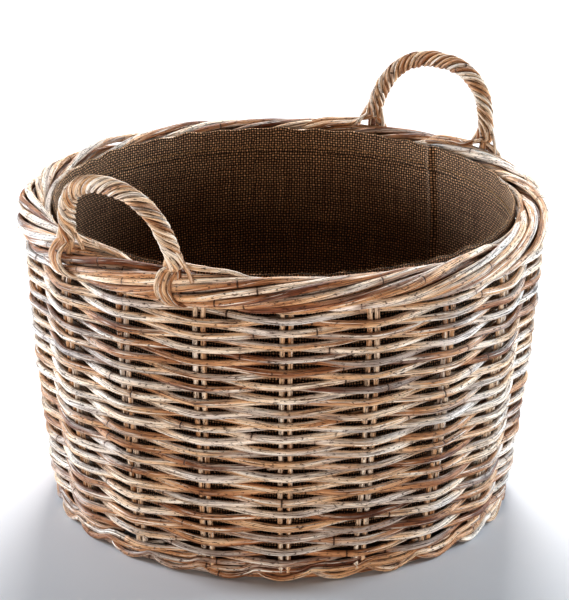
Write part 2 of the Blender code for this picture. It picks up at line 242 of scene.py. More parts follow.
class Canes:
    """Collects canes, each with its own tone, and makes them one piece."""

    def __init__(self):
        self.points, self.faces, self.cane, self.tone, self.spacing = [], [], [], [], []
        self.count = 0

    def add(self, path, radius, facing, sides=10, tone=None, spacing=None):
        """A cane of round section along the path. facing is the way its first side looks."""
        n = len(path)
        radius = np.broadcast_to(radius, n).astype(float)
        tangent = np.gradient(path, axis=0)
        tangent /= np.linalg.norm(tangent, axis=1, keepdims=True)
        facing = np.broadcast_to(facing, path.shape)
        normal = facing - tangent * np.sum(facing * tangent, axis=1, keepdims=True)
        normal /= np.linalg.norm(normal, axis=1, keepdims=True)
        side = np.cross(tangent, normal)
        turn = np.linspace(0, 2 * math.pi, sides, endpoint=False)
        across = np.outer(radius, np.cos(turn))
        up = np.outer(radius, np.sin(turn))
        rings = path[:, None] + across[..., None] * normal[:, None] + up[..., None] * side[:, None]
        along = lengths_along(path)[:, None] + rng.uniform(0, 50)
        self.points.append(rings.reshape(-1, 3))
        self.cane.append(np.stack(np.broadcast_arrays(along, across, up), axis=-1).reshape(-1, 3))
        self.tone.append(np.full(n * sides, rng.uniform(0, 1) if tone is None else tone))
        gap = rng.uniform(0.14, 0.40) if spacing is None else spacing
        self.spacing.append(np.full(n * sides, gap))
        i, j = np.meshgrid(np.arange(n - 1), np.arange(sides), indexing="ij")
        a, b = i * sides + j, i * sides + (j + 1) % sides
        quads = np.stack([a, b, b + sides, a + sides], axis=-1).reshape(-1, 4) + self.count
        caps = [
            np.arange(sides)[::-1] + self.count,
            np.arange(sides) + self.count + (n - 1) * sides,
        ]
        self.faces.append((quads, caps))
        self.count += n * sides

    def piece(self, name, material, slot, *stands_for):
        mesh = bpy.data.meshes.new(name)
        quads = np.vstack([q for q, _ in self.faces])
        caps = [c for _, pair in self.faces for c in pair]
        loops = np.concatenate([quads.ravel(), *caps])
        sizes = np.concatenate([np.full(len(quads), 4), [len(c) for c in caps]])
        mesh.vertices.add(self.count)
        mesh.vertices.foreach_set("co", np.vstack(self.points).ravel())
        mesh.loops.add(len(loops))
        mesh.loops.foreach_set("vertex_index", loops)
        mesh.polygons.add(len(sizes))
        mesh.polygons.foreach_set("loop_start", np.concatenate([[0], np.cumsum(sizes)[:-1]]))
        mesh.update(calc_edges=True)
        mesh.polygons.foreach_set("use_smooth", sizes == 4)
        put_attribute(mesh, "cane", "FLOAT_VECTOR", np.vstack(self.cane))
        put_attribute(mesh, "tone", "FLOAT", np.concatenate(self.tone))
        put_attribute(mesh, "spacing", "FLOAT", np.concatenate(self.spacing))
        return add_piece(name, mesh, material, slot, *stands_for)


def put_attribute(mesh, name, kind, values):
    layer = mesh.attributes.new(name, kind, "POINT")
    layer.data.foreach_set("vector" if kind == "FLOAT_VECTOR" else "value", np.ravel(values))


def add_piece(name, mesh, material, slot, *stands_for):
    mesh.materials.append(material)
    obj = bpy.data.objects.new(name, mesh)
    bpy.context.scene.collection.objects.link(obj)
    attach(obj, "root")
    if stands_for:
        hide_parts(*stands_for)
    return obj


# ---------------------------------------------------------------- materials
def srgb(red, green, blue):
    """A colour from 0 to 255 values, as the linear one that shaders take."""
    value = np.array([red, green, blue]) / 255
    return (*np.where(value <= 0.04045, value / 12.92, ((value + 0.055) / 1.055) ** 2.4), 1)


class Shader:
    """A material's node tree, built up from short calls."""

    def __init__(self, name):
        self.material = bpy.data.materials.new(name)
        self.material.use_nodes = True
        self.tree = self.material.node_tree
        self.surface = self.tree.nodes["Principled BSDF"]

    def put(self, value, socket):
        if isinstance(value, bpy.types.NodeSocket):
            self.tree.links.new(value, socket)
        else:
            socket.default_value = value

    def attribute(self, name, output="Fac"):
        node = self.tree.nodes.new("ShaderNodeAttribute")
        node.attribute_name = name
        return node.outputs[output]

    def math(self, operation, *values):
        node = self.tree.nodes.new("ShaderNodeMath")
        node.operation = operation
        for value, socket in zip(values, node.inputs):
            self.put(value, socket)
        return node.outputs[0]

    def split(self, vector):
        node = self.tree.nodes.new("ShaderNodeSeparateXYZ")
        self.put(vector, node.inputs[0])
        return node.outputs

    def join(self, x, y, z):
        node = self.tree.nodes.new("ShaderNodeCombineXYZ")
        for value, socket in zip((x, y, z), node.inputs):
            self.put(value, socket)
        return node.outputs[0]

    def noise(self, vector, scale=1.0, detail=2.0, roughness=0.5):
        node = self.tree.nodes.new("ShaderNodeTexNoise")
        self.put(vector, node.inputs["Vector"])
        node.inputs["Scale"].default_value = scale
        node.inputs["Detail"].default_value = detail
        node.inputs["Roughness"].default_value = roughness
        return node.outputs["Fac"]

    def spread(self, value, low, high, to_low=0.0, to_high=1.0):
        """The value's range from low to high mapped to a new range, and held at its ends."""
        node = self.tree.nodes.new("ShaderNodeMapRange")
        for each, socket in zip((value, low, high, to_low, to_high), node.inputs):
            self.put(each, socket)
        return node.outputs[0]

    def ramp(self, value, stops):
        node = self.tree.nodes.new("ShaderNodeValToRGB")
        self.put(value, node.inputs[0])
        elements = node.color_ramp.elements
        while len(elements) < len(stops):
            elements.new(0.5)
        for element, (place, color) in zip(elements, stops):
            element.position = place
            element.color = color
        return node.outputs[0]

    def mix(self, share, first, second, blend="MIX"):
        node = self.tree.nodes.new("ShaderNodeMix")
        node.data_type = "RGBA"
        node.blend_type = blend
        self.put(share, node.inputs[0])
        self.put(first, node.inputs[6])
        self.put(second, node.inputs[7])
        return node.outputs[2]

    def bump(self, height, strength, distance):
        node = self.tree.nodes.new("ShaderNodeBump")
        node.inputs["Strength"].default_value = strength
        node.inputs["Distance"].default_value = distance
        self.put(height, node.inputs["Height"])
        self.put(node.outputs[0], self.surface.inputs["Normal"])

    def finish(self, color, roughness):
        self.put(color, self.surface.inputs["Base Color"])
        self.put(roughness, self.surface.inputs["Roughness"])
        return self.material


RATTAN_STOPS = [
    (0.14, srgb(120, 72, 46)),
    (0.28, srgb(170, 118, 80)),
    (0.41, srgb(204, 156, 116)),
    (0.53, srgb(231, 194, 157)),
    (0.66, srgb(248, 229, 208)),
    (0.82, srgb(233, 221, 212)),
]


def rattan(name, lightness, greyness):
    """Peeled and weathered cane: streaks along it, dark rings at its joints, and grey patches."""
    s = Shader(name)
    along, across, up = s.split(s.attribute("cane", "Vector"))
    tone = s.attribute("tone")
    spacing = s.attribute("spacing")
    shift = s.math("MULTIPLY", tone, 83.0)  # gives each cane its own part of the noise

    def grain(per_along, per_across, scale=1.0, detail=2.0, roughness=0.5):
        vector = s.join(
            s.math("MULTIPLY_ADD", along, per_along, shift),
            s.math("MULTIPLY", across, per_across),
            s.math("MULTIPLY", up, per_across),
        )
        return s.noise(vector, scale, detail, roughness)

    # The cane's own colour, then grey weathering over it.
    patches = grain(9.0, 60.0, detail=3.0)
    share = s.math("MULTIPLY_ADD", tone, 0.52, s.math("MULTIPLY_ADD", patches, 1.25, -0.40))
    color = s.ramp(share, RATTAN_STOPS)
    grey_from = 0.62 - 0.2 * greyness
    weather = s.spread(grain(6.0, 90.0, detail=3.0, roughness=0.6), grey_from, grey_from + 0.12)
    silver = s.ramp(patches, [(0.3, srgb(168, 158, 150)), (0.7, srgb(226, 220, 216))])
    color = s.mix(s.math("MULTIPLY", weather, 0.78), color, silver)

    # Marks: streaks along the cane, bleached and stained stretches, specks and cracks.
    streaks = grain(22.0, 1500.0, detail=3.0, roughness=0.62)
    streak_color = s.ramp(streaks, [(0.34, srgb(92, 66, 48)), (0.52, srgb(255, 255, 255))])
    color = s.mix(1.0, color, streak_color, "MULTIPLY")
    bleached = s.spread(grain(15.0, 420.0, detail=3.0, roughness=0.6), 0.55, 0.68)
    color = s.mix(s.math("MULTIPLY", bleached, 0.80), color, srgb(255, 250, 240))
    stain = s.spread(grain(45.0, 260.0, detail=4.0, roughness=0.65), 0.60, 0.72)
    color = s.mix(s.math("MULTIPLY", stain, 0.60), color, srgb(92, 58, 38))
    specks = s.spread(grain(210.0, 460.0, detail=3.0, roughness=0.6), 0.58, 0.66)
    color = s.mix(s.math("MULTIPLY", specks, 0.80), color, srgb(62, 36, 22))
    cracks = s.spread(grain(24.0, 620.0, detail=2.0), 0.60, 0.68)
    color = s.mix(s.math("MULTIPLY", cracks, 0.65), color, srgb(70, 42, 27))

    # Joints: a dark, broken ring at each, in a browner stretch.
    place = s.math("FRACT", s.math("DIVIDE", along, spacing))
    off = s.math("SUBTRACT", 0.5, s.math("ABSOLUTE", s.math("SUBTRACT", place, 0.5)))
    distance = s.math("MULTIPLY", off, spacing)
    uneven = s.math("MULTIPLY_ADD", grain(300.0, 500.0), 0.0010, -0.0005)
    ring = s.spread(s.math("ADD", distance, uneven), 0.0004, 0.0012, 1.0, 0.0)
    ring = s.math("MULTIPLY", ring, s.spread(grain(90.0, 180.0), 0.30, 0.46))
    halo = s.spread(distance, 0.0010, 0.0090, 0.35, 0.0)
    color = s.mix(halo, color, srgb(150, 104, 72))
    color = s.mix(s.math("MULTIPLY", ring, 0.85), color, srgb(48, 30, 20))

    if lightness != 1.0:
        tint = (lightness, lightness, lightness, 1)
        color = s.mix(1.0, color, tint, "MULTIPLY")
    pits = s.math("ADD", s.math("MULTIPLY", specks, -0.6), s.math("MULTIPLY", cracks, -0.5))
    height = s.math("MULTIPLY_ADD", ring, -0.9, s.math("MULTIPLY_ADD", streaks, 0.9, pits))
    s.bump(height, 0.9, 0.0009)
    s.surface.inputs["Specular IOR Level"].default_value = 0.45
    return s.finish(color, s.spread(streaks, 0.3, 0.7, 0.62, 0.42))


def jute(name, light, dark):
    """Plain-woven jute cloth: coarse, uneven yarns, with painted shade in the gaps between them and
    painted highlights on their crowns.
    """
    s = Shader(name)
    u, v, layer = s.split(s.attribute("cloth", "Vector"))
    yarn = 0.0031
    drift_u = s.math("MULTIPLY_ADD", s.noise(s.join(u, v, layer), 55.0, 3.0), 0.0050, u)
    drift_v = s.math("MULTIPLY_ADD", s.noise(s.join(v, layer, u), 55.0, 3.0), 0.0050, v)
    warp = s.math("MULTIPLY", drift_u, math.pi / yarn)
    weft = s.math("MULTIPLY", drift_v, math.pi / yarn)
    warp_round = s.math("ABSOLUTE", s.math("SINE", warp))
    weft_round = s.math("ABSOLUTE", s.math("SINE", weft))
    crossing = s.math("MULTIPLY", s.math("SINE", warp), s.math("SINE", weft))
    over = s.spread(crossing, -0.5, 0.5, 0.55, 1.0)
    height = s.math("MULTIPLY", s.math("MULTIPLY", warp_round, weft_round), over)

    def slubs(per_u, per_v):
        place = s.join(s.math("MULTIPLY", u, per_u), s.math("MULTIPLY", v, per_v), layer)
        return s.noise(place, 1.0, 3.0, 0.6)

    slub = slubs(14.0, 330.0)
    slub_up = slubs(330.0, 14.0)
    fibre = s.noise(s.join(u, v, layer), 2600.0, 2.0, 0.7)
    share = s.math("ADD", s.math("MULTIPLY", slub, 0.5), s.math("MULTIPLY", slub_up, 0.5))
    share = s.math("MULTIPLY_ADD", fibre, 0.3, s.math("MULTIPLY_ADD", share, 0.9, -0.10))
    color = s.ramp(share, [(0.28, dark), (0.75, light)])
    # Painted shade darkens the colour between the yarns, and a painted highlight lifts it above the
    # yarn's colour on their crowns.
    yarn_gap_shade_and_crown_highlight = s.spread(height, 0.12, 0.75, 0.04, 1.40)
    color = s.mix(1.0, color, s.join(yarn_gap_shade_and_crown_highlight, yarn_gap_shade_and_crown_highlight, yarn_gap_shade_and_crown_highlight), "MULTIPLY")
    s.bump(s.math("MULTIPLY_ADD", fibre, 0.35, height), 0.9, 0.0009)
    s.surface.inputs["Sheen Weight"].default_value = 0.15
    s.surface.inputs["Sheen Roughness"].default_value = 0.6
    s.surface.inputs["Specular IOR Level"].default_value = 0.2
    return s.finish(color, s.spread(fibre, 0.2, 0.8, 0.98, 0.86))


def twisted_thread(name):
    """Jute thread, with its plies as slanting ribs."""
    s = Shader(name)
    along, across, up = s.split(s.attribute("cane", "Vector"))
    turn = s.math("ARCTAN2", up, across)
    ply = s.math("SINE", s.math("MULTIPLY_ADD", along, 3400.0, s.math("MULTIPLY", turn, 2.0)))
    hair = s.noise(s.join(along, across, up), 3000.0, 3.0, 0.7)
    share = s.math("MULTIPLY_ADD", ply, 0.22, hair)
    color = s.ramp(share, [(0.2, srgb(120, 88, 60)), (0.75, srgb(206, 172, 128))])
    s.bump(share, 0.8, 0.0003)
    return s.finish(color, s.spread(hair, 0.2, 0.8, 0.95, 0.8))


WEAVE_MATERIAL = rattan("rattan_weave_cane", 1.0, 0.62)
STAKE_MATERIAL = rattan("rattan_stake_cane", 1.0, 0.50)
# The border's lightness above 1 is a painted highlight: these canes are the stakes' own ends, made
# lighter for lying on top of the basket.
BORDER_MATERIAL = rattan("rattan_border_cane", 1.12, 0.58)
HANDLE_MATERIAL = rattan("rattan_handle_cane", 0.98, 0.25)
# The base's lightness below 1 is painted shade: its canes are made darker for lying at the bottom of
# the basket.
BASE_MATERIAL = rattan("rattan_base_cane", 0.84, 0.35)
LINING_MATERIAL = jute("jute_cloth", srgb(255, 214, 172), srgb(118, 74, 50))
THREAD_MATERIAL = twisted_thread("jute_thread_yarn")


# ---------------------------------------------------------------- the wall
def make_stakes():
    """Pairs of upright canes, with their ends hidden in the border and in the foot's waling."""
    first = -(PAIRS // 2)
    lowest, highest = STAKE_FOOT - STAKE_HIDDEN_FOOT, STAKE_TOP + STAKE_HIDDEN_TOP
    for k in range(PAIRS):
        canes = Canes()
        angle = math.pi + (first + k) * PAIR_ANGLE
        for way in (-1, 1):
            z = np.linspace(lowest, highest, 60)
            lean = wander(z, 0.25, 900 + 2 * k + way) * 0.0007
            radial = wall_radius(np.minimum(z, STAKE_TOP))
            radial = radial + wander(z, 0.2, 700 + 2 * k + way) * 0.0004
            radial = radial - smoothstep(z, STAKE_TOP - 0.02, highest) * 0.004
            radial = radial + smoothstep(-z, -STAKE_FOOT - STAKE_HIDDEN_FOOT, -lowest) * 0.0055
            path = polar(radial, angle, z)
            tangent = np.array([-math.sin(angle), math.cos(angle), 0])
            path = path + tangent * (way * STAKE_HALF_SPREAD + lean)[:, None]
            radius = STAKE_RADIUS * (1 + 0.05 * wander(z, 0.1, 40 + k)) * rng.uniform(0.95, 1.04)
            canes.add(path, radius, outward(path), sides=12, tone=rng.uniform(0.45, 0.85))
        name = f"stake_pair_{k + 1:02d}"
        canes.piece(f"stakes_{k + 1:02d}", STAKE_MATERIAL, "rattan_stake", name)


def weaver_side(angle):
    """+1 where the canes pass outside a pair and -1 where they pass inside one."""
    turn = PAIRS / 2 * (angle - math.pi)
    straight = 1 - 2 * np.abs((turn / math.pi) % 2 - 1)
    return 0.5 * np.cos(turn) - 0.5 * straight


def make_side_weave():
    """Pieced canes in one spiral. The rows below the CAD's first band are the upsett.

    start and end count pairs of stakes along the spiral.
    """
    low, high = STAKE_FOOT + WEAVE_START, WEAVE_HIGH + WEAVE_REACH
    pitch = (high - low) / WEAVE_ROWS
    total_pairs = (WEAVE_ROWS - 1) * PAIRS
    upsett_pairs = round((WEAVE_LOW - low) / pitch * PAIRS)
    upsett = Canes()
    bands = [Canes() for _ in BANDS]
    start = cane = 0
    while start < total_pairs:
        # A cane ends where it passes inside a pair, so that its end is hidden.
        pairs = int(rng.integers(14, 36))
        pairs += (start + pairs) % 2 == 0
        end = min(start + pairs, total_pairs)
        if total_pairs - end < 8:
            end = total_pairs
        angle = math.pi + np.arange(start - 0.22, end + 0.22, 1 / STATIONS_PER_PAIR) * PAIR_ANGLE
        row = (angle - math.pi) / (2 * math.pi)
        arc = row * 2 * math.pi * MEAN_WALL_RADIUS
        side = weaver_side(angle)
        z = low + pitch * (row + 0.5) - WEAVER_DROOP * side
        z = z + 0.0006 * wander(arc, 0.31, 11) + 0.0006 * wander(arc, 0.10, 100 + cane)
        swell = 0.05 * wander(arc, 0.17, 300 + cane) + 0.03 * wander(arc, 0.045, 400 + cane)
        radius = WEAVER_RADIUS * rng.uniform(0.84, 1.08) * (1 + swell)
        reach = STAKE_RADIUS + radius + WEAVER_GAP
        edge = np.minimum(np.abs(row * PAIRS - start), np.abs(row * PAIRS - end))
        tuck = (1 - smoothstep(edge, 0.0, 0.5)) * 0.0018 * (1 if cane % 2 else -1)
        middle = wall_radius(z) + reach * side + 0.0004 * wander(arc, 0.09, 500 + cane)
        path = polar(middle, angle, z + tuck)
        share = (row.mean() * PAIRS - upsett_pairs) / (total_pairs - upsett_pairs)
        bundle = upsett if share < 0 else bands[min(int(share * len(bands)), len(bands) - 1)]
        bundle.add(path, radius, outward(path), sides=10)
        start, cane = end, cane + 1
    upsett.piece("upsett_rows", WEAVE_MATERIAL, "rattan_weave", "upsett_wale")
    for i, (bundle, node) in enumerate(zip(bands, BANDS)):
        bundle.piece(f"side_rows_{i + 1}", WEAVE_MATERIAL, "rattan_weave", node)


def make_foot():
    """Canes that sag under one gap of the foot and pass above the next two, on hidden rings."""
    foot = Canes()
    pitch = 2 * math.pi / FOOT_STAKES
    rim = FOOT_OUTER - FOOT_CANE_RADIUS - 0.0004
    for k in range(FOOT_STAKES):
        # u counts the gaps: the cane sags in the first, and climbs over its neighbours' sags.
        u = np.linspace(-0.25, 3.2, 90)
        angle = FOOT_PHASE + (k + u - 0.5) * pitch
        first = FOOT_SAG * np.abs(2 * np.minimum(u, 1) - 1) ** 1.5
        climb = 0.0022 * smoothstep(u, 0.9, 1.15) + 0.0062 * smoothstep(u, 1.75, 2.25)
        later = 0.0034 * np.sin(math.pi * np.clip(u - 1, 0, 1))
        later = later + 0.0026 * np.sin(math.pi * np.clip(u - 2, 0, 1))
        radius = FOOT_CANE_RADIUS * rng.uniform(0.93, 1.05)
        z = radius + 0.0002 + first + climb - later + 0.0005 * wander(u, 1.1, 6000 + k)
        behind = 0.0066 * (1 - smoothstep(u, -0.05, 0.25)) + 0.0100 * smoothstep(u, 2.75, 3.2)
        behind = behind + 0.0014 * smoothstep(u, 1.1, 1.6) + 0.0012 * smoothstep(u, 2.1, 2.6)
        path = polar(rim - behind, angle, np.maximum(z, radius + 0.0001))
        foot.add(path, radius, outward(path), sides=10)
    middle = (FOOT_OUTER + FOOT_INNER) / 2
    for out, z in FOOT_CORE_RINGS:
        angle = np.linspace(0, 2 * math.pi + 0.05, 300)
        path = polar(middle + out + 0.0006 * np.cos(FOOT_STAKES * angle), angle, z)
        # The rings' dark tone is painted shade in the gaps between the foot's canes.
        foot.add(path, FOOT_CORE_RADIUS, outward(path), sides=8, tone=0.1)
    foot.piece("foot_waling", WEAVE_MATERIAL, "rattan_weave", "foot_wale")


# ---------------------------------------------------------------- the border
def on_border(radius, lay, angle):
    """A point at this distance and turn round the border's middle line: 0 is outside, 90 on top."""
    return polar(BORDER_RADIUS + radius * np.cos(lay), angle, BORDER_Z + radius * np.sin(lay))


def around_border(lay, angle):
    """Unit vectors that point away from the border's middle line."""
    return polar(np.cos(lay), angle, np.sin(lay))


def make_border():
    """Each stake's end comes up outside, and is laid along the rim and over it to the inside."""
    bundles = [Canes() for _ in BORDER_NODES]
    count = 2 * PAIRS
    for j in range(count):
        pair, second = divmod(j, 2)
        origin = math.pi + (pair + 0.46 * second + rng.uniform(-0.045, 0.045)) * PAIR_ANGLE
        travel = (BORDER_TRAVEL + rng.uniform(-0.3, 0.35)) * PAIR_ANGLE
        t = np.linspace(0, 1, 110)
        angle = origin + travel * t
        lay = np.radians(BORDER_LAY_FIRST + (BORDER_LAY_LAST - BORDER_LAY_FIRST) * t)
        radius = BORDER_CANE_RADIUS * rng.uniform(0.93, 1.06)
        top = BORDER_HALF - radius + rng.uniform(-0.0016, 0.0009)
        depth = 0.0060 * (1 - smoothstep(t, 0.0, 0.14)) + 0.0070 * smoothstep(t, 0.84, 1.0)
        swell = 0.0009 * wander(t, 0.35, 2000 + j)
        around = top - depth + swell
        path = on_border(around, lay + 0.05 * wander(t, 0.4, 2100 + j), angle)
        taper = 1 - 0.18 * smoothstep(t, 0.75, 1.0)
        thin = radius * taper * (1 + 0.04 * wander(t, 0.3, 2200 + j))
        bundles[j % len(bundles)].add(path, thin, around_border(lay, angle), sides=12)
    # Hidden canes in the middle and at the inside, which close the gaps between the others.
    for k, bundle in enumerate(bundles):
        angle = np.linspace(0, 2 * math.pi + 0.08, 400)
        lay = 2 * math.pi * k / len(bundles) + 7 * angle
        path = on_border(BORDER_CORE_REACH, lay, angle)
        # The middle cane's dark tone is painted shade in the gaps between the border's canes.
        bundle.add(path, BORDER_CORE_RADIUS, around_border(lay, angle), sides=8, tone=0.15)
        lay = np.radians(160 + 32 * k) + 0.12 * np.sin(9 * angle + k)
        path = on_border(BORDER_FILLER_REACH, lay, angle)
        bundle.add(path, BORDER_FILLER_RADIUS, around_border(lay, angle), sides=8)
        bundle.piece(f"border_canes_{k + 1}", BORDER_MATERIAL, "rattan_border", BORDER_NODES[k])


# ---------------------------------------------------------------- the handles
class Handle:
    """A loop of roped canes over one side, with its canes lashed to the border at both feet."""

    def __init__(self, name, side):
        core = vertices(f"{name}_core")
        self.name, self.side = name, side
        self.lean = np.array([side * math.sin(HANDLE_LEAN), 0, math.cos(HANDLE_LEAN)])
        core_radius = np.ptp(core[core[:, 2] < BORDER_TOP + 0.004][:, 0]) / 2
        self.half_span = np.ptp(core[:, 1]) / 2 - core_radius
        self.rise = (core[:, 2].max() - BORDER_TOP - core_radius) / math.cos(HANDLE_LEAN)

    def middle(self, t):
        """The loop's middle line for t from 0 at +Y to 1 at -Y, in a plane that leans outwards."""
        swing = math.pi * (1 - t)
        across = np.sign(np.cos(swing)) * np.abs(np.cos(swing)) ** HANDLE_SHOULDER
        up = self.rise * np.abs(np.sin(swing)) ** HANDLE_SHOULDER
        radial = BORDER_RADIUS + up * math.sin(HANDLE_LEAN)
        height = BORDER_TOP + up * math.cos(HANDLE_LEAN)
        return np.stack([self.side * radial, -self.half_span * across, height], axis=1)

    def loop(self, stations):
        """The middle line with evenly spaced stations, the ways across it, and its length."""
        fine = self.middle(np.linspace(0, 1, 400))
        length = lengths_along(fine)
        wanted = np.linspace(0, length[-1], stations)
        path = np.stack([np.interp(wanted, length, fine[:, i]) for i in range(3)], axis=1)
        tangent = np.gradient(path, axis=0)
        tangent /= np.linalg.norm(tangent, axis=1, keepdims=True)
        face = np.array([-math.cos(HANDLE_LEAN), 0, self.side * math.sin(HANDLE_LEAN)])
        face = np.broadcast_to(face, path.shape)
        face = face - tangent * np.sum(face * tangent, axis=1, keepdims=True)
        face = face / np.linalg.norm(face, axis=1, keepdims=True)
        away = np.cross(tangent, face)
        middle = path.mean(axis=0)
        away = away * np.sign(np.sum(away * (path - middle), axis=1).sum())
        return path, face, away, length[-1]

    def make(self):
        """The core, the roped canes and their ends. The twist eases off towards the feet."""
        ends, ropes = Canes(), [Canes() for _ in range(3)]
        path, face, away, length = self.loop(HANDLE_STATIONS)
        t = np.linspace(0, 1, len(path))
        twist = np.cumsum(smoothstep(np.minimum(t, 1 - t), 0.0, HANDLE_EASE))
        twist = twist / twist[-1]
        keep = (t > HANDLE_BARE_END) & (t < 1 - HANDLE_BARE_END)
        core = np.vstack([path[0] - HANDLE_LEG * UP, path, path[-1] - HANDLE_LEG * UP])
        core_facing = np.vstack([face[0], face, face[-1]])
        # The core's dark tone is painted shade: it shows as dark gaps between the roped canes.
        ends.add(core, HANDLE_CORE_RADIUS, core_facing, sides=10, tone=0.2)
        whole_t = np.linspace(0, 1, HANDLE_CANE_STATIONS)
        for strand in range(HANDLE_CANES):
            lay = 2 * math.pi * (strand / HANDLE_CANES + length / HANDLE_TURN * twist) + 0.4
            lay = lay + 0.07 * wander(t, 0.5, 3000 + strand + 10 * self.side)
            radius = HANDLE_CANE_RADIUS * rng.uniform(0.93, 1.06)
            reach = HANDLE_LAY_RADIUS + 0.0004 * wander(t, 0.35, 3100 + strand + 10 * self.side)
            way = away * np.sin(lay)[:, None] + face * np.cos(lay)[:, None]
            rope = path + way * reach[:, None]
            rope, way = rope[keep], way[keep]
            before, before_way = self.foot(rope[0], way[0], -1)
            after, after_way = self.foot(rope[-1], way[-1], 1)
            whole = np.vstack([before[::-1], rope, after])
            facing = np.vstack([before_way[::-1], way, after_way])
            whole = through(whole[::2], HANDLE_CANE_STATIONS)
            facing = through(facing[::2], HANDLE_CANE_STATIONS)
            thin = radius * (1 + 0.05 * wander(whole_t, 0.15, 3200 + strand))
            tone = rng.uniform(0.30, 0.85)
            ropes[strand % len(ropes)].add(whole, thin, facing, sides=10, tone=tone)
        for low in (path[0], path[-1]):
            for along in (-1, 1):
                self.prop(ends, low, along)
        node = f"{self.name}_core"
        ends.piece(f"{self.name}_core_cane", HANDLE_MATERIAL, "rattan_handle", node)
        for i, rope in enumerate(ropes):
            node = f"{self.name}_rope_{i + 1}"
            rope.piece(f"{self.name}_canes_{i + 1}", HANDLE_MATERIAL, "rattan_handle", node)

    def prop(self, canes, low, along):
        """A thin cane end that leaves the rope above the rim and is pushed down into the border."""
        toward = np.array([0, along, 0])
        steps = ((0.030, 0.0020), (0.018, 0.0095), (0.005, 0.0155), (-0.008, 0.0185))
        path = through([low + self.lean * up + toward * beside for up, beside in steps], 40)
        facing = (float(self.side), 0, 0)
        canes.add(path, HANDLE_CANE_RADIUS * 0.95, facing, sides=10, tone=rng.uniform(0.35, 0.8))

    def foot(self, start, way, end):
        """The rest of a cane from the loop's foot.

        The canes on the rope's outer side go down outside the border and are tucked under it, and
        the others lie along the rim. A point of a route is its turn round the border in degrees,
        its distance out from the border and its distance along the rim.
        """
        out = way[0] * self.side
        base = math.atan2(-end * self.half_span, self.side * BORDER_RADIUS)
        beside = math.atan2(way[1] * -self.side, max(out, 0.05))
        beside *= HANDLE_CANES / (2 * math.pi) * 2.1 * HANDLE_CANE_RADIUS
        if out > -0.2:
            route = [
                (56, 0.0070, beside - 0.0050),
                (30, 0.0062, beside - 0.0078),
                (6, 0.0046, beside - 0.0080),
                (-20, 0.0034, beside - 0.0045),
                (-46, 0.0010, beside + 0.0025),
                (-66, -0.0060, beside + 0.0100),
            ]
        else:
            route = [
                (94 + 17 * way[1], 0.0042, 0.0150),
                (102 + 17 * way[1], 0.0032, 0.0340),
                (110 + 17 * way[1], 0.0018, 0.0560),
                (122 + 15 * way[1], -0.0060, 0.0820),
            ]
        degrees, reach, along = np.array(route).T
        lay = np.radians(degrees)
        turn = base + along / BORDER_RADIUS
        points = on_border(BORDER_HALF + reach, lay, turn)
        facing = around_border(lay, turn)
        smooth = through([start, *points], 60)[2:]
        smooth_facing = through([way, *facing], 60)[2:]
        return smooth, smooth_facing


# ---------------------------------------------------------------- the base
def make_base_sticks():
    """The sticks, bound together in the middle by rows of thin cane above and below them."""
    sticks = Canes()
    outer = wall_radius(STAKE_FOOT) - 0.014
    for i in range(BASE_STICKS):
        radial = np.linspace(BASE_EYE, outer, 60)
        path = polar(radial, 2 * math.pi * i / BASE_STICKS, BASE_Z)
        sticks.add(path, BASE_STICK_RADIUS, UP, sides=10)
    angle = np.linspace(0, 2 * math.pi + 0.04, 160)
    for face in (-1, 1):
        for row in range(BASE_BINDING_ROWS):
            height = BASE_Z + face * BASE_BINDING_LIFT + 0.0006 * np.sin(angle * BASE_STICKS)
            path = polar(BASE_EYE + row * BASE_ROW_PITCH, angle, height)
            sticks.add(path, BASE_BINDING_RADIUS, UP, sides=8)
    sticks.piece("base_stick_canes", BASE_MATERIAL, "rattan_base", "base_sticks")


def make_base_weave():
    """Rows of thin cane that pass over one stick and under the next, in two rings."""
    middle = (BASE_WEAVE_START + FOOT_INNER) / 2
    rings = ((BASE_WEAVE_START, middle), (middle, FOOT_INNER - 0.0015))
    for ring, (low, high) in enumerate(rings):
        canes = Canes()
        rows = int((high - low) / BASE_ROW_PITCH)
        for row in range(rows):
            radial = low + (high - low) * (row + 0.5) / rows
            stations = np.linspace(0, 2 * math.pi + 0.03, BASE_STICKS * 10 + 1)
            angle = stations + rng.uniform(0, 6.28)
            swing = np.cos(BASE_STICKS / 2 * angle) * (-1) ** row
            swing = np.sign(swing) * np.abs(swing) ** 0.8
            waver = 0.0003 * wander(angle * radial, 0.06, 5000 + row)
            lift = (BASE_STICK_RADIUS + BASE_CANE_RADIUS) * swing
            path = polar(radial + waver, angle, BASE_Z + lift)
            canes.add(path, BASE_CANE_RADIUS * rng.uniform(0.94, 1.06), UP, sides=8)
        node = f"base_weave_{ring + 1}"
        canes.piece(f"base_rows_{ring + 1}", BASE_MATERIAL, "rattan_base", node)


# ---------------------------------------------------------------- the lining
def cloth_mesh(name, grid, cloth, node):
    """A sheet from its grid's x, y and z, with its place along, up and between the cloth's layers."""
    grid, cloth = np.stack(grid, axis=-1), np.stack(cloth, axis=-1)
    rows, columns = grid.shape[:2]
    mesh = bpy.data.meshes.new(name)
    i, j = np.meshgrid(np.arange(rows - 1), np.arange(columns - 1), indexing="ij")
    a = i * columns + j
    quads = np.stack([a, a + 1, a + columns + 1, a + columns], axis=-1).reshape(-1, 4)
    mesh.vertices.add(rows * columns)
    mesh.vertices.foreach_set("co", grid.ravel())
    mesh.loops.add(quads.size)
    mesh.loops.foreach_set("vertex_index", quads.ravel())
    mesh.polygons.add(len(quads))
    mesh.polygons.foreach_set("loop_start", np.arange(len(quads)) * 4)
    mesh.update(calc_edges=True)
    mesh.polygons.foreach_set("use_smooth", np.ones(len(quads), bool))
    put_attribute(mesh, "cloth", "FLOAT_VECTOR", cloth)
    return add_piece(name, mesh, LINING_MATERIAL, "jute_lining", node)


